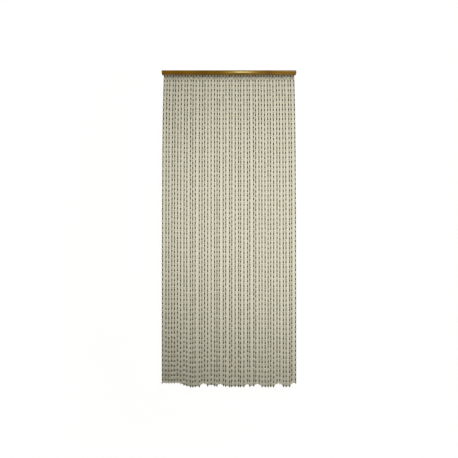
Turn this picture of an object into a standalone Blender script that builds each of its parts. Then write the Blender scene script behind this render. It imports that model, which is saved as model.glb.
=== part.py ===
"""Bead string door curtain on a wooden rail.

The rail is a varnished batten whose back face lies flat against the head of a doorway. A narrow
carrier strip sits in a groove under the rail, and 45 strings of beads hang from it. Here each
string is a plain four-sided strand of the beads' mean size, fused into the carrier strip.

The origin is the centre of the rail's back face. +X runs to the right along the rail, +Y into
the wall behind it and +Z up. All sizes are in metres.
"""

import math
import random
from typing import NamedTuple

import bmesh
import bpy
from mathutils import Vector

MM = 0.001

COLLECTION_NAME = "bead_string_door_curtain"
CUTTER_COLLECTION_NAME = "cutters"

RAIL_LENGTH = 900 * MM
RAIL_HEIGHT = 26.5 * MM
RAIL_DEPTH = 28 * MM
RAIL_ROUNDING = 4 * MM
ROUNDING_STEPS = 3

SEAT_GAP = 0.3 * MM
GROOVE_LENGTH = 886 * MM
GROOVE_WIDTH = 9 * MM
GROOVE_DEPTH = 5.3 * MM

STRING_COUNT = 45
STRING_SPAN = 866 * MM
STRAND_WIDTH = 10 * MM
STRAND_DEPTH = 8 * MM
STRAND_SIDES = 4
STRAND_STEPS = 12
TOP_CROWDING = 1.5
ROOT_INSET = 2.5 * MM
TIP_LENGTH = 7 * MM
TIP_SHARE = 0.35

OVAL_LENGTH = 17.25 * MM
TUBE_LENGTH = 14.5 * MM
KNOT_LENGTH = 5 * MM
LEAST_TOP_SLACK = 0.5 * MM
MOST_TOP_SLACK = 2.5 * MM
PAIRS_PER_STRING = 65

FAN_SPREAD = 12 * MM
FAN_REACH = 350 * MM

JITTER_SEED = 1621
ROOT_JITTER = 2.7 * MM
FOOT_DRIFT = 2.4 * MM
DEPTH_JITTER = 0.8 * MM
LENGTH_VARIATION = 0.0007


class HemGroup(NamedTuple):
    """Neighbouring strings that end alike, from the left.

    Some have one more tube at their end. The threading of each is looser or tighter by its hang.
    """

    strings: int
    extra_tube: bool
    hang: float


HEM_GROUPS = (
    HemGroup(strings=6, extra_tube=False, hang=3 * MM),
    HemGroup(strings=1, extra_tube=False, hang=7 * MM),
    HemGroup(strings=1, extra_tube=True, hang=1 * MM),
    HemGroup(strings=1, extra_tube=True, hang=8 * MM),
    HemGroup(strings=4, extra_tube=True, hang=14 * MM),
    HemGroup(strings=2, extra_tube=False, hang=8 * MM),
    HemGroup(strings=1, extra_tube=True, hang=8 * MM),
    HemGroup(strings=1, extra_tube=True, hang=2 * MM),
    HemGroup(strings=2, extra_tube=True, hang=10 * MM),
    HemGroup(strings=1, extra_tube=False, hang=9 * MM),
    HemGroup(strings=1, extra_tube=True, hang=5 * MM),
    HemGroup(strings=1, extra_tube=True, hang=10 * MM),
    HemGroup(strings=6, extra_tube=True, hang=14 * MM),
    HemGroup(strings=1, extra_tube=False, hang=10 * MM),
    HemGroup(strings=2, extra_tube=True, hang=11 * MM),
    HemGroup(strings=2, extra_tube=False, hang=10 * MM),
    HemGroup(strings=5, extra_tube=True, hang=13 * MM),
    HemGroup(strings=2, extra_tube=False, hang=8 * MM),
    HemGroup(strings=3, extra_tube=True, hang=13 * MM),
    HemGroup(strings=2, extra_tube=False, hang=5 * MM),
)


class BeadString(NamedTuple):
    """Where one string hangs and how long it is."""

    root_x: float
    foot_drift: float
    offset_y: float
    length: float


def clear_scene():
    """Remove every object that the scene holds."""
    for old in list(bpy.data.objects):
        bpy.data.objects.remove(old, do_unlink=True)


def make_collection(name):
    """Make a collection under the scene's own."""
    collection = bpy.data.collections.new(name)
    bpy.context.scene.collection.children.link(collection)
    return collection


def make_material(name, color, roughness, metallic=0.0):
    """Make a Principled material of one colour."""
    material = bpy.data.materials.new(name)
    material.use_nodes = True
    shader = material.node_tree.nodes["Principled BSDF"]
    shader.inputs["Base Color"].default_value = (*color, 1.0)
    shader.inputs["Roughness"].default_value = roughness
    shader.inputs["Metallic"].default_value = metallic
    return material


def varnished_wood():
    """Honey brown wood under a clear varnish."""
    return make_material("varnished_wood", (0.28, 0.14, 0.015), 0.35)


def cream_bead():
    """Glossy cream of the oval beads."""
    return make_material("cream_bead", (0.60, 0.54, 0.38), 0.30)


def add_object(name, mesh, collection, material=None, location=(0.0, 0.0, 0.0)):
    """Put a mesh in the scene as an object."""
    obj = bpy.data.objects.new(name, mesh)
    obj.location = location
    if material is not None:
        mesh.materials.append(material)
    collection.objects.link(obj)
    return obj


def box_mesh(name, size):
    """A box of the given size, centred on its origin."""
    bm = bmesh.new()
    bmesh.ops.create_cube(bm, size=1.0)
    bmesh.ops.scale(bm, vec=Vector(size), verts=bm.verts)
    mesh = bpy.data.meshes.new(name)
    bm.to_mesh(mesh)
    bm.free()
    return mesh


def add_cutter(name, mesh, collection, location):
    """Put a tool body of a Boolean in the scene, drawn as wire and never rendered."""
    cutter = add_object(name, mesh, collection, location=location)
    cutter.hide_render = True
    cutter.display_type = "WIRE"
    return cutter


def add_boolean(obj, tool, operation):
    """Cut or join an object with a tool body."""
    boolean = obj.modifiers.new(tool.name, "BOOLEAN")
    boolean.object = tool
    boolean.operation = operation
    boolean.solver = "EXACT"


def rail_middle_y():
    """The rail's middle plane, where the groove and the strings lie."""
    return -RAIL_DEPTH / 2


def underside_z():
    """Height of the rail's underside."""
    return -RAIL_HEIGHT / 2


def build_rail(parts, cutters):
    """The batten with rounded edges and the groove for the carrier strip."""
    centre = (0.0, rail_middle_y(), 0.0)
    size = (RAIL_LENGTH, RAIL_DEPTH, RAIL_HEIGHT)
    rail = add_object("rail", box_mesh("rail", size), parts, varnished_wood(), centre)

    rounding = rail.modifiers.new("rounded_edges", "BEVEL")
    rounding.width = RAIL_ROUNDING
    rounding.segments = ROUNDING_STEPS
    rounding.limit_method = "ANGLE"

    overshoot = RAIL_ROUNDING
    groove_size = (GROOVE_LENGTH, GROOVE_WIDTH, GROOVE_DEPTH + overshoot)
    groove_z = underside_z() + (GROOVE_DEPTH - overshoot) / 2
    groove = add_cutter(
        "groove", box_mesh("groove", groove_size), cutters, (0.0, rail_middle_y(), groove_z)
    )
    add_boolean(rail, groove, "DIFFERENCE")
    return rail


def hem_plan():
    """The hem group of each string, from left to right."""
    return [group for group in HEM_GROUPS for _ in range(group.strings)]


def string_plan():
    """Place and length of every string, slightly uneven as strings hang."""
    chance = random.Random(JITTER_SEED)
    pitch = STRING_SPAN / (STRING_COUNT - 1)
    plan = []
    for index, group in enumerate(hem_plan()):
        root_x = -STRING_SPAN / 2 + index * pitch
        if 0 < index < STRING_COUNT - 1:
            root_x += chance.uniform(-ROOT_JITTER, ROOT_JITTER)
        foot_drift = chance.uniform(-FOOT_DRIFT, FOOT_DRIFT)
        offset_y = chance.uniform(-DEPTH_JITTER, DEPTH_JITTER)
        stretch = 1 + chance.uniform(-LENGTH_VARIATION, LENGTH_VARIATION)
        top_slack = chance.uniform(LEAST_TOP_SLACK, MOST_TOP_SLACK)
        beads = PAIRS_PER_STRING * (OVAL_LENGTH + TUBE_LENGTH) + TUBE_LENGTH * group.extra_tube
        length = top_slack + beads * stretch + group.hang + KNOT_LENGTH
        plan.append(BeadString(root_x, foot_drift, offset_y, length))
    return plan


def strand_point(bead_string, drop):
    """Middle of a string at a distance below the rail: the strings fan out a little at the top."""
    side = bead_string.root_x / (STRING_SPAN / 2)
    fan = side * FAN_SPREAD * (1 - math.exp(-max(drop, 0.0) / FAN_REACH))
    along = max(drop, 0.0) / bead_string.length
    x = bead_string.root_x + fan + bead_string.foot_drift * math.sin(along * math.pi / 2)
    y = rail_middle_y() + bead_string.offset_y * along
    return Vector((x, y, underside_z() - drop))


def strand_drops(length):
    """Distances below the rail at which a strand has a ring, closer together near the top."""
    body = length - TIP_LENGTH
    shares = [step / STRAND_STEPS for step in range(1, STRAND_STEPS + 1)]
    return [*[body * share**TOP_CROWDING for share in shares], length]


def add_strand(bm, bead_string):
    """One four-sided strand from inside the carrier strip down to its tapered tip."""
    here = strand_point(bead_string, -ROOT_INSET)
    ring = bmesh.ops.create_circle(bm, cap_ends=True, radius=0.5, segments=STRAND_SIDES)
    bmesh.ops.scale(bm, vec=Vector((STRAND_WIDTH, STRAND_DEPTH, 1.0)), verts=ring["verts"])
    bmesh.ops.translate(bm, vec=here, verts=ring["verts"])
    face = ring["verts"][0].link_faces[0]

    for step, drop in enumerate(strand_drops(bead_string.length)):
        there = strand_point(bead_string, drop)
        grown = bmesh.ops.extrude_face_region(bm, geom=[face])
        if step > 0:
            bmesh.ops.delete(bm, geom=[face], context="FACES_ONLY")
        verts = [item for item in grown["geom"] if isinstance(item, bmesh.types.BMVert)]
        face = next(item for item in grown["geom"] if isinstance(item, bmesh.types.BMFace))
        bmesh.ops.translate(bm, vec=there - here, verts=verts)
        here = there
    for vert in face.verts:
        vert.co = here + (vert.co - here) * TIP_SHARE


def strands_mesh():
    """All the strands in one mesh, standing apart from each other."""
    bm = bmesh.new()
    for bead_string in string_plan():
        add_strand(bm, bead_string)
    bmesh.ops.recalc_face_normals(bm, faces=bm.faces)
    mesh = bpy.data.meshes.new("strands")
    bm.to_mesh(mesh)
    bm.free()
    return mesh


def build_bead_strings(parts, cutters):
    """The carrier strip in the rail's groove with every strand fused to it."""
    strip_height = GROOVE_DEPTH - SEAT_GAP
    size = (GROOVE_LENGTH - 2 * SEAT_GAP, GROOVE_WIDTH - 2 * SEAT_GAP, strip_height)
    centre = (0.0, rail_middle_y(), underside_z() + strip_height / 2)
    strip = add_object("bead_strings", box_mesh("bead_strings", size), parts, cream_bead(), centre)
    strands = add_cutter("strands", strands_mesh(), cutters, (0.0, 0.0, 0.0))
    add_boolean(strip, strands, "UNION")
    return strip


def main():
    """Build the rail and the strings."""
    clear_scene()
    parts = make_collection(COLLECTION_NAME)
    cutters = make_collection(CUTTER_COLLECTION_NAME)
    build_rail(parts, cutters)
    build_bead_strings(parts, cutters)


main()
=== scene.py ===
"""Looks of a bead string door curtain on a varnished wooden rail.

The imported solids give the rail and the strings' places. The rail gets its rounded edges, its wood
grain and its varnish. Each plain strand gives way to a cord with brown tube beads and cream oval
beads in turn, tied off with a knot. The studio behind it is a white paper cove and a pale board.

Sizes are in metres. The frame's origin is the centre of the rail's back face, +X runs along the
rail, +Y points into the wall and +Z up.
"""

import logging
import math
import random
from dataclasses import dataclass, field
from enum import Enum
from typing import Any, Iterable, Sequence

import bmesh
import bpy
import numpy as np
from mathutils import Matrix, Vector


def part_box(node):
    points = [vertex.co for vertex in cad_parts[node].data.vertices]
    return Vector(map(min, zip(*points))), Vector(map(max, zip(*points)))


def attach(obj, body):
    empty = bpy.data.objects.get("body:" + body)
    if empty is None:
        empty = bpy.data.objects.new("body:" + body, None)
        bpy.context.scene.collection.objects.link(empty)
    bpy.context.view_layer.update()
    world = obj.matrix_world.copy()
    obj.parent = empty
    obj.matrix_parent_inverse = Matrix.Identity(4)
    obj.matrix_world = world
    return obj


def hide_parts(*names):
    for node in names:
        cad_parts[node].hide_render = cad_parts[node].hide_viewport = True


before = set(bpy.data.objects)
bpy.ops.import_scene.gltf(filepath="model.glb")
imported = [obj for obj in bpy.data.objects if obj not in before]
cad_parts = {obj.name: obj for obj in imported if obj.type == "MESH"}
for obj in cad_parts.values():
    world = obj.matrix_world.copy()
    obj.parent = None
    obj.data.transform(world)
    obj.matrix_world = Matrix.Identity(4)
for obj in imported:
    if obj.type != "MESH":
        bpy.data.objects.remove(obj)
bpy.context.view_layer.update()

MM = 0.001
BODY = "root"
IMAGE_SIDE = 458
SENSOR_WIDTH = 36.0
SRGB_KNEE = 0.04045
# Blender's wave texture repeats after this length at a scale of one.
WAVE_REPEAT = 2 * math.pi / 20

logging.basicConfig(level=logging.INFO, format="%(levelname)s %(message)s")
log = logging.getLogger("door_curtain")


class Slot(Enum):
    """The record's material slots."""

    RAIL_WOOD = "rail_wood"
    CREAM_BEADS = "cream_beads"
    BROWN_BEADS = "brown_beads"
    CORD = "cord"


class Ending(Enum):
    """The last bead of a string."""

    OVAL = "oval"
    TUBE = "tube"


def paint(code: str) -> tuple[float, float, float, float]:
    """Turn an sRGB hex colour into the linear colour that a shader takes.

    Args:
        code: Six hex digits with a leading hash.

    Returns:
        Linear red, green, blue and an alpha of one.
    """
    # The numbers are those of the sRGB standard's own curve.
    parts = [int(code[start : start + 2], 16) / 255 for start in (1, 3, 5)]
    linear = [p / 12.92 if p <= SRGB_KNEE else ((p + 0.055) / 1.055) ** 2.4 for p in parts]
    return (*linear, 1.0)


def add_node(
    tree: bpy.types.NodeTree,
    kind: str,
    values: dict[str | int, Any] | None = None,
    links: dict[str | int, bpy.types.NodeSocket] | None = None,
    **settings: Any,
) -> bpy.types.Node:
    """Add a shader node with its settings and links.

    Args:
        tree: The node tree that gets the node.
        kind: Blender's identifier of the node.
        values: Values of input sockets, by name or place.
        links: Output sockets to join to input sockets, by name or place.
        **settings: Properties of the node itself.

    Returns:
        The new node.
    """
    node = tree.nodes.new(kind)
    for name, value in settings.items():
        setattr(node, name, value)
    for name, value in (values or {}).items():
        node.inputs[name].default_value = value
    for name, source in (links or {}).items():
        tree.links.new(source, node.inputs[name])
    return node


def set_ramp(node: bpy.types.Node, stops: Sequence[tuple[float, str]]) -> None:
    """Give a colour ramp its stops.

    Args:
        node: The ramp node.
        stops: Place and hex colour of each stop, in rising order.
    """
    ramp = node.color_ramp
    while len(ramp.elements) < len(stops):
        ramp.elements.new(0.5)
    for element, (place, code) in zip(ramp.elements, stops):
        element.position = place
        element.color = paint(code)


def new_material(name: str, values: dict[str, Any]) -> tuple[bpy.types.Material, bpy.types.Node]:
    """Make a material with a Principled shader.

    Args:
        name: The material's name.
        values: Values of the shader's own sockets.

    Returns:
        The material and its Principled node.
    """
    material = bpy.data.materials.new(name)
    material.use_nodes = True
    shader = material.node_tree.nodes["Principled BSDF"]
    for socket, value in values.items():
        shader.inputs[socket].default_value = value
    return material, shader


@dataclass(frozen=True)
class VarnishedPine:
    """Planed pine under a satin oil varnish, which turns it honey brown and lights up its grain."""

    pale: str = "#886204"
    honey: str = "#704E02"
    dark: str = "#513600"
    ring_spacing: float = 2.6 * MM
    ring_share: float = 0.22
    ring_stretch: float = 0.06
    pith: tuple[float, float, float] = (0.0, 0.031, 0.058)
    skew: tuple[float, float, float] = (0.0, 0.012, 0.02)
    fibre_width: float = 0.5 * MM
    fibre_stretch: float = 0.03
    patches_per_metre: float = 9.0
    patch_share: float = 0.45
    pore_depth: float = 0.05 * MM

    def build(self) -> bpy.types.Material:
        """Make the material.

        Returns:
            The varnished wood.
        """
        # The varnish film is glossy over slightly rough wood, so it sits on the coat sockets.
        material, shader = new_material(
            "varnished_pine",
            {"IOR": 1.5, "Specular IOR Level": 0.04, "Coat Weight": 0.32, "Coat Roughness": 0.12},
        )
        tree = material.node_tree
        place = add_node(tree, "ShaderNodeTexCoord").outputs["Object"]
        # Boards are sawn along the trunk: rings run nearly level with the rail, a bit askew.
        trunk = add_node(
            tree,
            "ShaderNodeMapping",
            {"Location": self.pith, "Rotation": self.skew, "Scale": (self.ring_stretch, 1.0, 1.0)},
            {"Vector": place},
        ).outputs["Vector"]
        rings = add_node(
            tree,
            "ShaderNodeTexWave",
            {
                "Scale": WAVE_REPEAT / self.ring_spacing,
                "Distortion": 5.0,
                "Detail": 2.0,
                "Detail Scale": 0.35,
            },
            {"Vector": trunk},
            wave_type="RINGS",
            rings_direction="X",
        ).outputs["Fac"]
        fibre_place = add_node(
            tree, "ShaderNodeMapping", {"Scale": (self.fibre_stretch, 1.0, 1.0)}, {"Vector": place}
        ).outputs["Vector"]
        fibres = add_node(
            tree,
            "ShaderNodeTexNoise",
            {"Scale": 0.5 / self.fibre_width, "Detail": 3.0, "Roughness": 0.6},
            {"Vector": fibre_place},
        ).outputs["Fac"]
        patches = add_node(
            tree,
            "ShaderNodeTexNoise",
            {"Scale": self.patches_per_metre, "Detail": 2.0},
            {"Vector": place},
        ).outputs["Fac"]
        mixed = add_node(
            tree,
            "ShaderNodeMath",
            {1: self.patch_share},
            {0: fibres, 2: patches},
            operation="MULTIPLY_ADD",
        ).outputs["Value"]
        grain = add_node(
            tree,
            "ShaderNodeMath",
            {1: self.ring_share},
            {0: rings, 2: mixed},
            operation="MULTIPLY_ADD",
        ).outputs["Value"]
        ramp = add_node(tree, "ShaderNodeValToRGB", links={"Fac": grain})
        set_ramp(ramp, ((0.45, self.dark), (0.75, self.honey), (1.0, self.pale)))
        tree.links.new(ramp.outputs["Color"], shader.inputs["Base Color"])
        roughness = add_node(
            tree, "ShaderNodeMapRange", {"To Min": 0.32, "To Max": 0.5}, {"Value": fibres}
        ).outputs["Result"]
        tree.links.new(roughness, shader.inputs["Roughness"])
        bump = add_node(
            tree, "ShaderNodeBump", {"Strength": 0.5, "Distance": self.pore_depth}, {"Height": fibres}
        ).outputs["Normal"]
        tree.links.new(bump, shader.inputs["Normal"])
        return material


@dataclass(frozen=True)
class CreamResin:
    """Moulded milky acrylic: glossy, a little see-through at the rims, each bead of its own tone."""

    white: str = "#E8E4CC"
    cream: str = "#C8C3A0"
    marbling: float = 6 * MM
    marbling_share: float = 0.5

    def build(self) -> bpy.types.Material:
        """Make the material.

        Returns:
            The cream bead plastic.
        """
        # Light spreads a millimetre or so inside milky acrylic, which softens the shaded side.
        material, shader = new_material(
            "cream_resin",
            {
                "IOR": 1.49,
                "Subsurface Weight": 0.25,
                "Subsurface Radius": (1.0, 0.85, 0.55),
                "Subsurface Scale": 2.0 * MM,
            },
        )
        tree = material.node_tree
        tone = add_node(tree, "ShaderNodeAttribute", attribute_name="bead_tone").outputs["Fac"]
        place = add_node(tree, "ShaderNodeTexCoord").outputs["Object"]
        cloud = add_node(
            tree, "ShaderNodeTexNoise", {"Scale": 1 / self.marbling, "Detail": 2.0}, {"Vector": place}
        ).outputs["Fac"]
        share = add_node(
            tree,
            "ShaderNodeMath",
            {1: self.marbling_share},
            {0: cloud, 2: tone},
            operation="MULTIPLY_ADD",
        ).outputs["Value"]
        ramp = add_node(tree, "ShaderNodeValToRGB", links={"Fac": share})
        set_ramp(ramp, ((0.2, self.cream), (1.0, self.white)))
        tree.links.new(ramp.outputs["Color"], shader.inputs["Base Color"])
        roughness = add_node(
            tree, "ShaderNodeMapRange", {"To Min": 0.16, "To Max": 0.3}, {"Value": cloud}
        ).outputs["Result"]
        tree.links.new(roughness, shader.inputs["Roughness"])
        return material


@dataclass(frozen=True)
class BrownResin:
    """Moulded acrylic in a turned wood brown: glossy, with darker and redder streaks down a bead."""

    name: str = "brown_resin"
    dark: str = "#1E180A"
    brown: str = "#3A2C11"
    red: str = "#4E3618"
    streak_width: float = 1.6 * MM
    streak_length: float = 9 * MM
    streak_share: float = 0.5

    def build(self) -> bpy.types.Material:
        """Make the material.

        Returns:
            The brown bead plastic.
        """
        # Tumbled acrylic keeps a clear gloss with a faint haze from the barrel.
        material, shader = new_material(self.name, {"IOR": 1.49, "Specular IOR Level": 0.35})
        tree = material.node_tree
        tone = add_node(tree, "ShaderNodeAttribute", attribute_name="bead_tone").outputs["Fac"]
        place = add_node(tree, "ShaderNodeTexCoord").outputs["Object"]
        drawn = add_node(
            tree,
            "ShaderNodeMapping",
            {"Scale": (1.0, 1.0, self.streak_width / self.streak_length)},
            {"Vector": place},
        ).outputs["Vector"]
        streaks = add_node(
            tree,
            "ShaderNodeTexNoise",
            {"Scale": 1 / self.streak_width, "Detail": 1.5},
            {"Vector": drawn},
        ).outputs["Fac"]
        share = add_node(
            tree,
            "ShaderNodeMath",
            {1: self.streak_share},
            {0: streaks, 2: tone},
            operation="MULTIPLY_ADD",
        ).outputs["Value"]
        ramp = add_node(tree, "ShaderNodeValToRGB", links={"Fac": share})
        set_ramp(ramp, ((0.2, self.dark), (0.8, self.brown), (1.0, self.red)))
        tree.links.new(ramp.outputs["Color"], shader.inputs["Base Color"])
        roughness = add_node(
            tree, "ShaderNodeMapRange", {"To Min": 0.2, "To Max": 0.36}, {"Value": streaks}
        ).outputs["Result"]
        tree.links.new(roughness, shader.inputs["Roughness"])
        return material


@dataclass(frozen=True)
class TwistedThread:
    """Three-ply polyester thread: dull, with its plies wound steeply round it."""

    light: str = "#CDBF9C"
    dark: str = "#8B7B58"
    ply_pitch: float = 1.4 * MM
    ply_slant: float = math.radians(35)
    ply_relief: float = 0.15 * MM

    def build(self) -> bpy.types.Material:
        """Make the material.

        Returns:
            The thread.
        """
        # Loose fibre ends leave no gloss, only a faint bright rim.
        material, shader = new_material(
            "twisted_thread", {"Roughness": 0.8, "Sheen Weight": 0.3, "Sheen Roughness": 0.4}
        )
        tree = material.node_tree
        place = add_node(tree, "ShaderNodeTexCoord").outputs["Object"]
        slanted = add_node(
            tree, "ShaderNodeMapping", {"Rotation": (0.0, self.ply_slant, 0.0)}, {"Vector": place}
        ).outputs["Vector"]
        plies = add_node(
            tree,
            "ShaderNodeTexWave",
            {"Scale": WAVE_REPEAT / self.ply_pitch, "Distortion": 0.6},
            {"Vector": slanted},
            bands_direction="Z",
        ).outputs["Fac"]
        # The ramp darkens the grooves between the plies, where the bump sinks: painted shade on a
        # thread of one colour.
        ramp = add_node(tree, "ShaderNodeValToRGB", links={"Fac": plies})
        set_ramp(ramp, ((0.1, self.dark), (0.7, self.light)))
        tree.links.new(ramp.outputs["Color"], shader.inputs["Base Color"])
        relief = {"Distance": self.ply_relief}
        bump = add_node(tree, "ShaderNodeBump", relief, {"Height": plies}).outputs["Normal"]
        tree.links.new(bump, shader.inputs["Normal"])
        return material


@dataclass(frozen=True)
class MattCoat:
    """A plain matt surface of the studio: backdrop paper or wall paint."""

    name: str
    tone: str

    def build(self) -> bpy.types.Material:
        """Make the material.

        Returns:
            The matt finish.
        """
        # Uncoated paper and emulsion paint scatter light so evenly that no gloss is left.
        material, shader = new_material(self.name, {"Roughness": 0.95})
        shader.inputs["Base Color"].default_value = paint(self.tone)
        return material


def mesh_from(bm: bmesh.types.BMesh, name: str) -> bpy.types.Mesh:
    """Turn a bmesh into a mesh and free it.

    Args:
        bm: The finished bmesh.
        name: The mesh's name.

    Returns:
        The mesh.
    """
    mesh = bpy.data.meshes.new(name)
    bm.to_mesh(mesh)
    bm.free()
    return mesh


def add_piece(
    mesh: bpy.types.Mesh, materials: Iterable[bpy.types.Material], node: str
) -> bpy.types.Object:
    """Put a mesh in the scene as a piece that stands for a solid.

    Args:
        mesh: The piece's mesh, in the frame's own place.
        materials: Its materials, in the order of its faces' material numbers.
        node: The solid that it replaces.

    Returns:
        The new object.
    """
    piece = bpy.data.objects.new(mesh.name, mesh)
    bpy.context.scene.collection.objects.link(piece)
    for material in materials:
        mesh.materials.append(material)
    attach(piece, BODY)
    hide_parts(node)
    mesh.calc_loop_triangles()
    log.info("%s: %d triangles", piece.name, len(mesh.loop_triangles))
    return piece


def joined_copies(
    name: str, pattern: bpy.types.Mesh, places: Sequence[Matrix], tones: Sequence[float]
) -> bpy.types.Mesh:
    """Join many copies of one small mesh into a single mesh.

    Args:
        name: The new mesh's name.
        pattern: The mesh that is repeated.
        places: Where each copy goes.
        tones: The bead_tone of each copy, from 0 to 1.

    Returns:
        The joined mesh, with the pattern's materials, smooth faces and sharp edges.
    """
    count, copies = len(pattern.vertices), len(places)
    corners = np.empty(count * 3, np.float32)
    pattern.vertices.foreach_get("co", corners)
    corners = corners.reshape(count, 3)
    turns = np.array([[row[:] for row in place] for place in places], np.float32)
    points = np.einsum("kij,nj->kni", turns[:, :3, :3], corners) + turns[:, None, :3, 3]

    ring = np.empty(len(pattern.loops), np.int32)
    pattern.loops.foreach_get("vertex_index", ring)
    starts = np.empty(len(pattern.polygons), np.int32)
    pattern.polygons.foreach_get("loop_start", starts)
    finishes = np.empty(len(pattern.polygons), np.int32)
    pattern.polygons.foreach_get("material_index", finishes)
    sharp_keys = [
        min(edge.vertices) * count + max(edge.vertices) for edge in pattern.edges if edge.use_edge_sharp
    ]

    step = np.arange(copies, dtype=np.int32)[:, None]
    mesh = bpy.data.meshes.new(name)
    mesh.vertices.add(count * copies)
    mesh.vertices.foreach_set("co", points.astype(np.float32).ravel())
    mesh.loops.add(len(ring) * copies)
    mesh.loops.foreach_set("vertex_index", (ring + step * count).ravel())
    mesh.polygons.add(len(starts) * copies)
    mesh.polygons.foreach_set("loop_start", (starts + step * len(ring)).ravel())
    mesh.polygons.foreach_set("material_index", np.tile(finishes, copies))
    mesh.update(calc_edges=True)
    mesh.shade_smooth()

    ends = np.empty(len(mesh.edges) * 2, np.int32)
    mesh.edges.foreach_get("vertices", ends)
    ends = np.sort(ends.reshape(-1, 2) % count, axis=1)
    sharp = np.isin(ends[:, 0] * count + ends[:, 1], sharp_keys)
    mesh.edges.foreach_set("use_edge_sharp", sharp)
    tone = mesh.attributes.new("bead_tone", "FLOAT", "POINT")
    tone.data.foreach_set("value", np.repeat(np.array(tones, np.float32), count))
    mesh.validate()
    return mesh


def turned_shape(profile: Sequence[tuple[float, float]], sides: int) -> bmesh.types.BMesh:
    """Turn a profile round the Z axis into a closed shape with flat ends.

    Args:
        profile: Radius and height of each point, from the bottom up.
        sides: Faces round the shape. One of them looks along -Y.

    Returns:
        A bmesh of the shape, with its faces pointing out.
    """
    bm = bmesh.new()
    start = Matrix.Rotation(math.pi / sides - math.pi / 2, 3, "Z")
    chain = [bm.verts.new(start @ Vector((radius, 0.0, height))) for radius, height in profile]
    edges = [bm.edges.new(pair) for pair in zip(chain, chain[1:])]
    bmesh.ops.spin(
        bm,
        geom=chain + edges,
        cent=(0.0, 0.0, 0.0),
        axis=(0.0, 0.0, 1.0),
        angle=2 * math.pi,
        steps=sides,
        use_merge=True,
    )
    bmesh.ops.holes_fill(bm, edges=[edge for edge in bm.edges if edge.is_boundary], sides=sides)
    bmesh.ops.recalc_face_normals(bm, faces=bm.faces)
    for face in bm.faces:
        face.smooth = True
    return bm


@dataclass
class OvalBead:
    """A flattened oval bead with a long eye sunk into both of its broad faces."""

    width: float = 11.5 * MM
    depth: float = 8.2 * MM
    length: float = 17.25 * MM
    sides: int = 8
    bands: int = 7
    end_turn: float = math.radians(76)
    fullness: float = 0.8
    eye_reach: float = 5 * MM
    eye_taper: float = 0.68
    eye_shortening: float = 0.22
    eye_lip: float = 0.5 * MM
    eye_sink: float = 1.1 * MM
    eye_half_width: float = 1 * MM
    broad_facing: float = 0.8
    end_gap: float = 0.1 * MM

    def profile(self) -> list[tuple[float, float]]:
        """Radius and height of the bead's side, for a radius of one at its middle.

        Returns:
            The profile's points, from the bottom up.
        """
        turns = [self.end_turn * (2 * step / self.bands - 1) for step in range(self.bands + 1)]
        top = math.sin(self.end_turn)
        half = self.length / 2 - self.end_gap
        return [(math.cos(turn) ** self.fullness, half * math.sin(turn) / top) for turn in turns]

    def build(self) -> bpy.types.Mesh:
        """Make one bead at the origin.

        Returns:
            The bead, with material 0 on its body and 1, a painted shade, in its eyes.
        """
        bm = turned_shape(self.profile(), self.sides)
        reach = math.cos(math.pi / self.sides)
        girth = Vector((self.width / 2 / reach, self.depth / 2 / reach, 1.0))
        bmesh.ops.scale(bm, vec=girth, verts=bm.verts)
        for side in (-1, 1):
            self.sink_eye(bm, side)
        return mesh_from(bm, "oval_bead_pattern")

    def sink_eye(self, bm: bmesh.types.BMesh, side: int) -> None:
        """Sink the eye into one broad face.

        Args:
            bm: The bead's bmesh.
            side: -1 for the front face and 1 for the back.
        """
        eye = []
        for face in bm.faces:
            middle = face.calc_center_median()
            central = abs(middle.z) < self.eye_reach and abs(middle.x) < self.eye_half_width
            if central and face.normal.y * side > self.broad_facing:
                eye.append(face)
        for vert in {vert for face in eye for vert in face.verts}:
            outward = (vert.co.z / self.eye_reach) ** 2
            vert.co.x *= 1 - self.eye_taper * outward
            vert.co.z *= 1 - self.eye_shortening * outward
        bmesh.ops.inset_region(
            bm, faces=eye, thickness=self.eye_lip, depth=-self.eye_sink, use_even_offset=True
        )
        inside = set(eye)
        # The eye's floor takes material 1, a dark brown that paints the shade deep in the eye.
        for face in eye:
            face.material_index = 1
            for edge in face.edges:
                if any(other not in inside for other in edge.link_faces):
                    edge.smooth = False


@dataclass
class TubeBead:
    """A straight tube bead with chamfered ends."""

    width: float = 7.6 * MM
    length: float = 14.5 * MM
    sides: int = 8
    chamfer: float = 0.7 * MM
    crease: float = math.radians(20)
    end_gap: float = 0.1 * MM

    def build(self) -> bpy.types.Mesh:
        """Make one bead at the origin.

        Returns:
            The bead.
        """
        half = self.length / 2 - self.end_gap
        radius = self.width / 2
        rim = radius - self.chamfer
        shoulder = half - self.chamfer
        bm = turned_shape(
            ((rim, -half), (radius, -shoulder), (radius, shoulder), (rim, half)), self.sides
        )
        for edge in bm.edges:
            level = abs(edge.verts[0].co.z - edge.verts[1].co.z) < self.end_gap
            if level and edge.calc_face_angle() > self.crease:
                edge.smooth = False
        return mesh_from(bm, "tube_bead_pattern")


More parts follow.
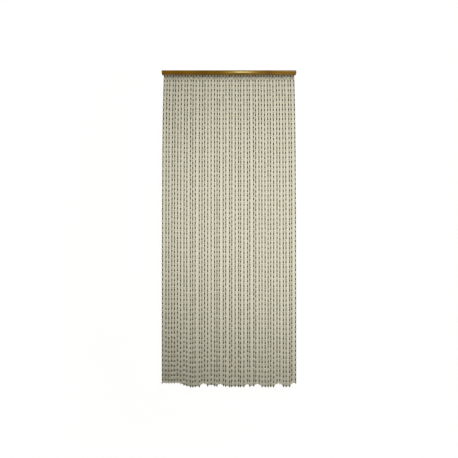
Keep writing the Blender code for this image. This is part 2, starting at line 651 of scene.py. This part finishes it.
@dataclass
class Knot:
    """A thread knot: two turns drawn tight round the end, and a short tail."""

    turn_radius: float = 1.35 * MM
    thread_radius: float = 0.75 * MM
    thread_sides: int = 6
    turn_steps: int = 8
    tilt: float = math.radians(24)
    tail_length: float = 4.2 * MM
    tail_taper: float = 0.8

    def add_turn(self, bm: bmesh.types.BMesh, height: float, tilt: float) -> None:
        """Add one turn of thread round the Z axis.

        Args:
            bm: The knot's bmesh.
            height: Middle height of the turn.
            tilt: Lean of the turn about the Y axis.
        """
        section = bmesh.ops.create_circle(
            bm,
            radius=self.thread_radius,
            segments=self.thread_sides,
            matrix=Matrix.Translation((self.turn_radius, 0, 0)) @ Matrix.Rotation(math.pi / 2, 4, "X"),
        )["verts"]
        before = set(bm.verts) - set(section)
        edges = list({edge for vert in section for edge in vert.link_edges})
        bmesh.ops.spin(
            bm,
            geom=section + edges,
            cent=(0, 0, 0),
            axis=(0, 0, 1),
            angle=2 * math.pi,
            steps=self.turn_steps,
            use_merge=True,
        )
        turn = [vert for vert in bm.verts if vert not in before]
        lean = Matrix.Translation((0, 0, height)) @ Matrix.Rotation(tilt, 4, "Y")
        bmesh.ops.transform(bm, matrix=lean, verts=turn)

    def build(self) -> bpy.types.Mesh:
        """Make one knot that hangs below the origin.

        Returns:
            The knot.
        """
        bm = bmesh.new()
        self.add_turn(bm, -self.thread_radius, self.tilt)
        self.add_turn(bm, -2 * self.thread_radius, -self.tilt)
        tail = Matrix.Translation((0, 0, -self.tail_length / 2 - self.thread_radius))
        bmesh.ops.create_cone(
            bm,
            cap_ends=True,
            segments=self.thread_sides,
            radius1=self.thread_radius,
            radius2=self.thread_radius * self.tail_taper,
            depth=self.tail_length,
            matrix=tail,
        )
        bmesh.ops.recalc_face_normals(bm, faces=bm.faces)
        for face in bm.faces:
            face.smooth = len(face.verts) <= 4
        return mesh_from(bm, "knot_pattern")


@dataclass
class HemGroup:
    """Neighbouring strings that end alike, from the left, threaded looser or tighter by their hang."""

    strings: int
    ending: Ending
    hang: float


@dataclass
class StringPath:
    """Where one string hangs, as its plain strand does."""

    root_x: float
    foot_drift: float
    offset_y: float
    slack: float
    ending: Ending
    length: float
    span: float
    top: Vector
    fan_spread: float = 12 * MM
    fan_reach: float = 350 * MM
    lean_reach: float = 1 * MM

    def point(self, drop: float) -> Vector:
        """Middle of the string at a distance below the rail.

        Args:
            drop: The distance.

        Returns:
            The point in the frame.
        """
        side = self.root_x / (self.span / 2)
        fan = side * self.fan_spread * (1 - math.exp(-drop / self.fan_reach))
        along = drop / self.length
        x = self.root_x + fan + self.foot_drift * math.sin(along * math.pi / 2)
        return Vector((x, self.top.y + self.offset_y * along, self.top.z - drop))

    def place(self, drop: float, turn: float, share: float = 1.0) -> Matrix:
        """Place and lean of a bead on the string.

        Args:
            drop: Distance of the bead's middle below the rail.
            turn: Its turn about the string.
            share: Its length as a share of the common length.

        Returns:
            The matrix that moves a bead from the origin to its place.
        """
        run = self.point(drop - self.lean_reach) - self.point(drop + self.lean_reach)
        lean = run.to_track_quat("Z", "Y").to_matrix().to_4x4()
        upright = Matrix.Rotation(-lean.to_euler().z, 4, "Z")
        own = Matrix.Rotation(turn, 4, "Z") @ Matrix.Diagonal((1.0, 1.0, share, 1.0))
        return Matrix.Translation(self.point(drop)) @ lean @ upright @ own


@dataclass
class BeadStrings:
    """The 45 strings: cords, tube beads, oval beads and knots, in three banks."""

    top: Vector
    count: int = 45
    span: float = 866 * MM
    pairs: int = 65
    least_top_slack: float = 0.5 * MM
    most_top_slack: float = 2.5 * MM
    knot_length: float = 5 * MM
    jitter_seed: int = 1621
    root_jitter: float = 2.7 * MM
    foot_drift: float = 2.4 * MM
    depth_jitter: float = 0.8 * MM
    length_variation: float = 0.0007
    bead_seed: int = 23
    unevenness: float = 0.06
    most_uneven: float = 0.13
    oval_turn: float = math.radians(24)
    cord_radius: float = 0.6 * MM
    cord_sides: int = 4
    cord_steps: int = 16
    top_crowding: float = 1.5
    banks: tuple[str, ...] = ("left", "middle", "right")
    oval: OvalBead = field(default_factory=OvalBead)
    tube: TubeBead = field(default_factory=TubeBead)
    knot: Knot = field(default_factory=Knot)
    hem: tuple[HemGroup, ...] = (
        HemGroup(6, Ending.OVAL, hang=3 * MM),
        HemGroup(1, Ending.OVAL, hang=7 * MM),
        HemGroup(1, Ending.TUBE, hang=1 * MM),
        HemGroup(1, Ending.TUBE, hang=8 * MM),
        HemGroup(4, Ending.TUBE, hang=14 * MM),
        HemGroup(2, Ending.OVAL, hang=8 * MM),
        HemGroup(1, Ending.TUBE, hang=8 * MM),
        HemGroup(1, Ending.TUBE, hang=2 * MM),
        HemGroup(2, Ending.TUBE, hang=10 * MM),
        HemGroup(1, Ending.OVAL, hang=9 * MM),
        HemGroup(1, Ending.TUBE, hang=5 * MM),
        HemGroup(1, Ending.TUBE, hang=10 * MM),
        HemGroup(6, Ending.TUBE, hang=14 * MM),
        HemGroup(1, Ending.OVAL, hang=10 * MM),
        HemGroup(2, Ending.TUBE, hang=11 * MM),
        HemGroup(2, Ending.OVAL, hang=10 * MM),
        HemGroup(5, Ending.TUBE, hang=13 * MM),
        HemGroup(2, Ending.OVAL, hang=8 * MM),
        HemGroup(3, Ending.TUBE, hang=13 * MM),
        HemGroup(2, Ending.OVAL, hang=5 * MM),
    )

    def paths(self) -> list[StringPath]:
        """Work out every string's path from the strands' own sizes and seed.

        Returns:
            The paths from left to right.
        """
        chance = random.Random(self.jitter_seed)
        pitch = self.span / (self.count - 1)
        groups = [group for group in self.hem for _ in range(group.strings)]
        found = []
        for index, group in enumerate(groups):
            root_x = -self.span / 2 + index * pitch
            if 0 < index < self.count - 1:
                root_x += chance.uniform(-self.root_jitter, self.root_jitter)
            drift = chance.uniform(-self.foot_drift, self.foot_drift)
            offset_y = chance.uniform(-self.depth_jitter, self.depth_jitter)
            stretch = 1 + chance.uniform(-self.length_variation, self.length_variation)
            slack = chance.uniform(self.least_top_slack, self.most_top_slack)
            beads = self.pairs * (self.oval.length + self.tube.length)
            beads += self.tube.length * (group.ending is Ending.TUBE)
            length = slack + beads * stretch + group.hang + self.knot_length
            found.append(
                StringPath(root_x, drift, offset_y, slack, group.ending, length, self.span, self.top)
            )
        return found

    def bead_places(
        self, path: StringPath, chance: np.random.Generator
    ) -> tuple[list[Matrix], list[Matrix]]:
        """Place the beads of one string from the top down.

        Args:
            path: The string's path.
            chance: Source of the beads' small turns.

        Returns:
            The places of its tubes and of its ovals.
        """
        tubes, ovals = [], []
        kinds = [(self.tube, tubes, math.pi), (self.oval, ovals, self.oval_turn)] * self.pairs
        if path.ending is Ending.TUBE:
            kinds.append((self.tube, tubes, math.pi))
        # Beads are cut and moulded a little uneven, so the rows of neighbours drift apart.
        spread = chance.normal(0, self.unevenness, len(kinds))
        uneven = 1 + np.clip(spread, -self.most_uneven, self.most_uneven)
        lengths = np.array([bead.length for bead, _, _ in kinds]) * uneven
        lengths *= (path.length - path.slack - self.knot_length) / lengths.sum()
        drop = path.slack
        for (bead, places, most), length in zip(kinds, lengths):
            turn = chance.uniform(-most, most)
            places.append(path.place(drop + length / 2, turn, length / bead.length))
            drop += length
        return tubes, ovals

    def cord_mesh(self, paths: Sequence[StringPath]) -> bpy.types.Mesh:
        """Thread a cord through every string, from the carrier strip to the knot.

        Args:
            paths: The strings' paths.

        Returns:
            All the cords in one mesh.
        """
        bm = bmesh.new()
        for path in paths:
            end = path.length - self.knot_length
            here = path.point(0.0)
            ring = bmesh.ops.create_circle(
                bm, cap_ends=True, radius=self.cord_radius, segments=self.cord_sides
            )
            bmesh.ops.translate(bm, vec=here, verts=ring["verts"])
            face = ring["verts"][0].link_faces[0]
            for step in range(1, self.cord_steps + 1):
                there = path.point(end * (step / self.cord_steps) ** self.top_crowding)
                grown = bmesh.ops.extrude_face_region(bm, geom=[face])
                if step > 1:
                    bmesh.ops.delete(bm, geom=[face], context="FACES_ONLY")
                verts = [item for item in grown["geom"] if isinstance(item, bmesh.types.BMVert)]
                face = next(item for item in grown["geom"] if isinstance(item, bmesh.types.BMFace))
                bmesh.ops.translate(bm, vec=there - here, verts=verts)
                here = there
        bmesh.ops.recalc_face_normals(bm, faces=bm.faces)
        return mesh_from(bm, "cords")

    def build(self) -> None:
        """Make the beads bank by bank, then the cords and the knots."""
        node = "bead_strings"
        paths = self.paths()
        chance = np.random.default_rng(self.bead_seed)
        cream, brown = CreamResin().build(), BrownResin().build()
        # The eyes' floors are coloured dark brown as painted shade for the depth of each eye.
        eye_shade_resin = BrownResin(name="eye_painted_shade", dark="#3A2617", brown="#5A3A24", red="#6E4028").build()
        oval_pattern, tube_pattern = self.oval.build(), self.tube.build()
        per_bank = len(paths) // len(self.banks)
        for number, bank in enumerate(self.banks):
            tubes: list[Matrix] = []
            ovals: list[Matrix] = []
            for path in paths[number * per_bank : (number + 1) * per_bank]:
                string_tubes, string_ovals = self.bead_places(path, chance)
                tubes += string_tubes
                ovals += string_ovals
            tones = chance.random(len(tubes))
            tube_mesh = joined_copies(f"tube_beads_{bank}", tube_pattern, tubes, tones)
            add_piece(tube_mesh, [brown], node)
            tones = chance.random(len(ovals))
            oval_mesh = joined_copies(f"oval_beads_{bank}", oval_pattern, ovals, tones)
            add_piece(oval_mesh, [cream, eye_shade_resin], node)

        thread = TwistedThread().build()
        add_piece(self.cord_mesh(paths), [thread], node)
        ends = [
            path.place(path.length - self.knot_length, chance.uniform(0, math.pi)) for path in paths
        ]
        knots = joined_copies("knots", self.knot.build(), ends, chance.random(len(ends)))
        add_piece(knots, [thread], node)


@dataclass
class Rail:
    """The wooden batten, and the fillet in its groove that holds the strings."""

    low: Vector
    high: Vector
    fillet_top: float
    rounding: float = 4 * MM
    rounding_steps: int = 6
    groove_length: float = 886 * MM
    groove_width: float = 9 * MM
    groove_depth: float = 5.3 * MM
    seat_gap: float = 0.3 * MM
    fillet_rounding: float = 0.5 * MM
    fillet_rounding_steps: int = 2
    crease: float = math.radians(35)
    touching: float = 0.01 * MM

    def box(self, low: Vector, high: Vector) -> bmesh.types.BMesh:
        """Make a box between two corners.

        Args:
            low: The lowest corner.
            high: The highest corner.

        Returns:
            A bmesh of the box.
        """
        bm = bmesh.new()
        bmesh.ops.create_cube(bm, size=1.0)
        bmesh.ops.scale(bm, vec=high - low, verts=bm.verts)
        bmesh.ops.translate(bm, vec=(low + high) / 2, verts=bm.verts)
        return bm

    def cut_groove(self, bm: bmesh.types.BMesh) -> None:
        """Score the groove's outline across the batten and sink its floor.

        Args:
            bm: The batten's bmesh, before its edges are rounded.
        """
        middle = (self.low + self.high) / 2
        scores = (
            (Vector((1, 0, 0)), self.groove_length / 2),
            (Vector((0, 1, 0)), self.groove_width / 2),
        )
        for normal, half in scores:
            for sign in (-1, 1):
                bmesh.ops.bisect_plane(
                    bm,
                    geom=bm.verts[:] + bm.edges[:] + bm.faces[:],
                    plane_co=middle + normal * half * sign,
                    plane_no=normal,
                )
        under = Vector((middle.x, middle.y, self.low.z))
        floor = min(bm.faces, key=lambda face: (face.calc_center_median() - under).length)
        sunk = bmesh.ops.extrude_face_region(bm, geom=[floor])
        bmesh.ops.delete(bm, geom=[floor], context="FACES_ONLY")
        verts = [item for item in sunk["geom"] if isinstance(item, bmesh.types.BMVert)]
        bmesh.ops.translate(bm, vec=Vector((0, 0, self.groove_depth)), verts=verts)

    def on_outside(self, edge: bmesh.types.BMEdge) -> bool:
        """Tell whether an edge is one of the batten's own, where two of its sides meet.

        Args:
            edge: An edge of the batten with its groove.

        Returns:
            True for an edge of the plain batten, and False for one of the groove.
        """
        sides = 0
        for axis in range(3):
            for limit in (self.low[axis], self.high[axis]):
                sides += all(abs(vert.co[axis] - limit) < self.touching for vert in edge.verts)
        return sides == 2

    def batten_mesh(self) -> bpy.types.Mesh:
        """Model the batten with its groove and rounded edges.

        Returns:
            The mesh.
        """
        bm = self.box(self.low, self.high)
        self.cut_groove(bm)
        bmesh.ops.bevel(
            bm,
            geom=[edge for edge in bm.edges if self.on_outside(edge)],
            offset=self.rounding,
            offset_type="OFFSET",
            affect="EDGES",
            segments=self.rounding_steps,
            profile=0.5,
            material=-1,
        )
        bmesh.ops.recalc_face_normals(bm, faces=bm.faces)
        return mesh_from(bm, "rail_batten")

    def fillet_mesh(self) -> bpy.types.Mesh:
        """Model the fillet with slightly rounded edges.

        Returns:
            The mesh.
        """
        middle_y = (self.low.y + self.high.y) / 2
        half_length = self.groove_length / 2 - self.seat_gap
        half_width = self.groove_width / 2 - self.seat_gap
        bm = self.box(
            Vector((-half_length, middle_y - half_width, self.low.z)),
            Vector((half_length, middle_y + half_width, self.fillet_top)),
        )
        bmesh.ops.bevel(
            bm,
            geom=bm.edges[:],
            offset=self.fillet_rounding,
            offset_type="OFFSET",
            affect="EDGES",
            segments=self.fillet_rounding_steps,
            profile=0.5,
            material=-1,
        )
        return mesh_from(bm, "carrier_fillet")

    def build(self) -> bpy.types.Object:
        """Make the batten and the fillet.

        Returns:
            The batten.
        """
        wood = VarnishedPine().build()
        batten = add_piece(self.batten_mesh(), [wood], "rail")
        fillet = add_piece(self.fillet_mesh(), [wood], "bead_strings")
        for piece in (batten, fillet):
            piece.data.shade_smooth()
            piece.data.set_sharp_from_angle(angle=self.crease)
        return batten


def limit_light(
    lamp: bpy.types.Object, target: bpy.types.Object, shades: Iterable[bpy.types.Object] = ()
) -> None:
    """Let a lamp light one thing and nothing else.

    Args:
        lamp: The lamp.
        target: The thing that it lights.
        shades: The other things that throw a shadow on the target.
    """
    lit = bpy.data.collections.new(f"lit_by_{lamp.name}")
    lit.objects.link(target)
    lamp.light_linking.receiver_collection = lit
    shading = bpy.data.collections.new(f"shading_{lamp.name}")
    for thing in (target, *shades):
        shading.objects.link(thing)
    lamp.light_linking.blocker_collection = shading


@dataclass(frozen=True)
class SoftLamp:
    """A square lamp that faces a point."""

    name: str
    place: tuple[float, float, float]
    aim: tuple[float, float, float]
    size: float
    power: float
    color: str = "#FFFFFF"

    def build(self) -> bpy.types.Object:
        """Hang the lamp.

        Returns:
            The lamp.
        """
        light = bpy.data.lights.new(self.name, "AREA")
        light.size = self.size
        light.energy = self.power
        light.color = paint(self.color)[:3]
        lamp = bpy.data.objects.new(self.name, light)
        lamp.location = self.place
        way = Vector(self.aim) - Vector(self.place)
        lamp.rotation_euler = way.to_track_quat("-Z", "Y").to_euler()
        bpy.context.scene.collection.objects.link(lamp)
        return lamp


@dataclass(frozen=True)
class Projector:
    """A spot lamp beside the camera."""

    name: str
    power: float
    cone: float
    blend: float
    aim: tuple[float, float, float]
    rise: float
    radius: float

    def build(self, eye: Vector) -> bpy.types.Object:
        """Hang the lamp.

        Args:
            eye: Place of the camera.

        Returns:
            The lamp.
        """
        light = bpy.data.lights.new(self.name, "SPOT")
        light.energy = self.power
        light.shadow_soft_size = self.radius
        light.spot_size = self.cone
        light.spot_blend = self.blend
        lamp = bpy.data.objects.new(self.name, light)
        lamp.location = eye + Vector((0.0, 0.0, self.rise))
        way = Vector(self.aim) - lamp.location
        lamp.rotation_euler = way.to_track_quat("-Z", "Y").to_euler()
        bpy.context.scene.collection.objects.link(lamp)
        return lamp


@dataclass
class Studio:
    """A white paper cove, a pale board that shows between the strings, lamps and the camera."""

    front: float
    rail: bpy.types.Object
    paths: list[StringPath]
    cove_radius: float = 6.2
    cove_reach: float = math.radians(64)
    cove_rings: int = 16
    cove_sides: int = 48
    cove_seam: float = 1 * MM
    board_y: float = 2.6
    board_rows: int = 12
    board_overlap: float = 9 * MM
    air_tone: str = "#FAF9F5"
    air_strength: float = 0.26
    rail_pixels: float = 134.9
    rail_length: float = 900 * MM
    distance: float = 2.75
    camera_height: float = -1.047
    camera_reach: float = 50.0
    paper: MattCoat = MattCoat("studio_paper", "#A6A6A6")
    board: MattCoat = MattCoat("board_paint", "#B1AE9C")
    paper_lamp: Projector = Projector(
        "paper_lamp",
        power=3200.0,
        cone=math.radians(120),
        blend=0.3,
        aim=(0.0, 0.0, camera_height),
        rise=0.0,
        radius=60 * MM,
    )
    board_lamp: Projector = Projector(
        "board_lamp",
        power=1410.0,
        cone=math.radians(66),
        blend=1.0,
        aim=(0.34, 0.0, -0.84),
        rise=52 * MM,
        radius=24 * MM,
    )
    lamps: tuple[SoftLamp, ...] = (
        SoftLamp("key", place=(1.1, -2.4, 1.6), aim=(0.2, 0, -0.5), size=1.0, power=24.0),
        SoftLamp("fill", place=(0.6, -1.8, -0.9), aim=(0.3, 0, -0.9), size=0.8, power=17.0),
    )
    glint: SoftLamp = SoftLamp(
        "rail_glint", place=(0.17, -2.8, 1.05), aim=(0, 0, 0), size=0.2, power=15.5, color="#FFF6B0"
    )

    def eye(self) -> Vector:
        """Place of the camera: square to the curtain, at half its height.

        Returns:
            The place.
        """
        return Vector((0.0, self.front - self.distance, self.camera_height))

    def stage(self, mesh: bpy.types.Mesh, coat: MattCoat) -> bpy.types.Object:
        """Put a mesh of the studio in the scene.

        Args:
            mesh: The mesh.
            coat: Its finish.

        Returns:
            The new object, which isn't a piece of the curtain.
        """
        thing = bpy.data.objects.new(mesh.name, mesh)
        bpy.context.scene.collection.objects.link(thing)
        mesh.materials.append(coat.build())
        return thing

    def build_cove(self) -> bpy.types.Object:
        """Bend the paper into a shallow bowl that faces the camera, so it is lit evenly.

        Returns:
            The paper.
        """
        bm = bmesh.new()
        chain = []
        for ring in range(self.cove_rings + 1):
            turn = self.cove_reach * ring / self.cove_rings
            away = Vector((math.sin(turn), math.cos(turn), 0.0)) * self.cove_radius
            chain.append(bm.verts.new(self.eye() + away))
        edges = [bm.edges.new(pair) for pair in zip(chain, chain[1:])]
        bmesh.ops.spin(
            bm,
            geom=chain + edges,
            cent=self.eye(),
            axis=(0.0, 1.0, 0.0),
            angle=2 * math.pi,
            steps=self.cove_sides,
            use_merge=True,
        )
        bmesh.ops.remove_doubles(bm, verts=bm.verts, dist=self.cove_seam)
        bmesh.ops.recalc_face_normals(bm, faces=bm.faces)
        for face in bm.faces:
            face.smooth = True
        return self.stage(mesh_from(bm, "paper_cove"), self.paper)

    def build_board(self) -> bpy.types.Object:
        """Stand a pale board far behind the curtain, cut to the curtain's outline in the camera's eye.

        Returns:
            The board.
        """
        bm = bmesh.new()
        eye = self.eye()
        last = len(self.paths) - 1
        grid = bmesh.ops.create_grid(bm, x_segments=last, y_segments=self.board_rows, size=0.5)
        for vert in grid["verts"]:
            path = self.paths[round((vert.co.x + 0.5) * last)]
            # The board ends behind the rail at its top, and behind each string's last bead.
            way = path.point(path.length * (0.5 - vert.co.y) - self.board_overlap) - eye
            vert.co = eye + way * (self.board_y - eye.y) / way.y
        return self.stage(mesh_from(bm, "pale_board"), self.board)

    def build_lights(self) -> None:
        """Hang the lamps, and set the light of the room."""
        for lamp in self.lamps:
            lamp.build()
        limit_light(self.glint.build(), self.rail)
        # The paper is lit beyond white, as the page round a cut-out photograph is.
        limit_light(self.paper_lamp.build(self.eye()), self.build_cove())
        # Its lamp hangs a little above the camera, so the rail's shadow shows just under the rail.
        limit_light(self.board_lamp.build(self.eye()), self.build_board(), [self.rail])

        world = bpy.data.worlds.new("studio_air")
        bpy.context.scene.world = world
        world.use_nodes = True
        air = world.node_tree.nodes["Background"]
        air.inputs["Color"].default_value = paint(self.air_tone)
        air.inputs["Strength"].default_value = self.air_strength

    def build_camera(self) -> None:
        """Set the camera so that the rail spans as many pixels as in the photograph."""
        camera = bpy.data.cameras.new("camera")
        view_width = self.rail_length * IMAGE_SIDE / self.rail_pixels
        camera.sensor_width = SENSOR_WIDTH
        camera.lens = SENSOR_WIDTH * self.distance / view_width
        camera.clip_end = self.camera_reach
        stand = bpy.data.objects.new("camera", camera)
        stand.location = self.eye()
        stand.rotation_euler = (math.pi / 2, 0.0, 0.0)
        bpy.context.scene.collection.objects.link(stand)
        bpy.context.scene.camera = stand
        bpy.context.scene.view_settings.view_transform = "Standard"

    def build(self) -> None:
        """Set up the backdrop, the lamps and the camera."""
        self.build_lights()
        self.build_camera()


def main() -> None:
    """Build the rail, the strings and the studio."""
    low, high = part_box("rail")
    batten = Rail(low, high, fillet_top=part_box("bead_strings")[1].z).build()
    strings = BeadStrings(top=Vector((0.0, (low.y + high.y) / 2, low.z)))
    strings.build()
    Studio(low.y, batten, strings.paths()).build()


if __name__ == "__main__":
    main()
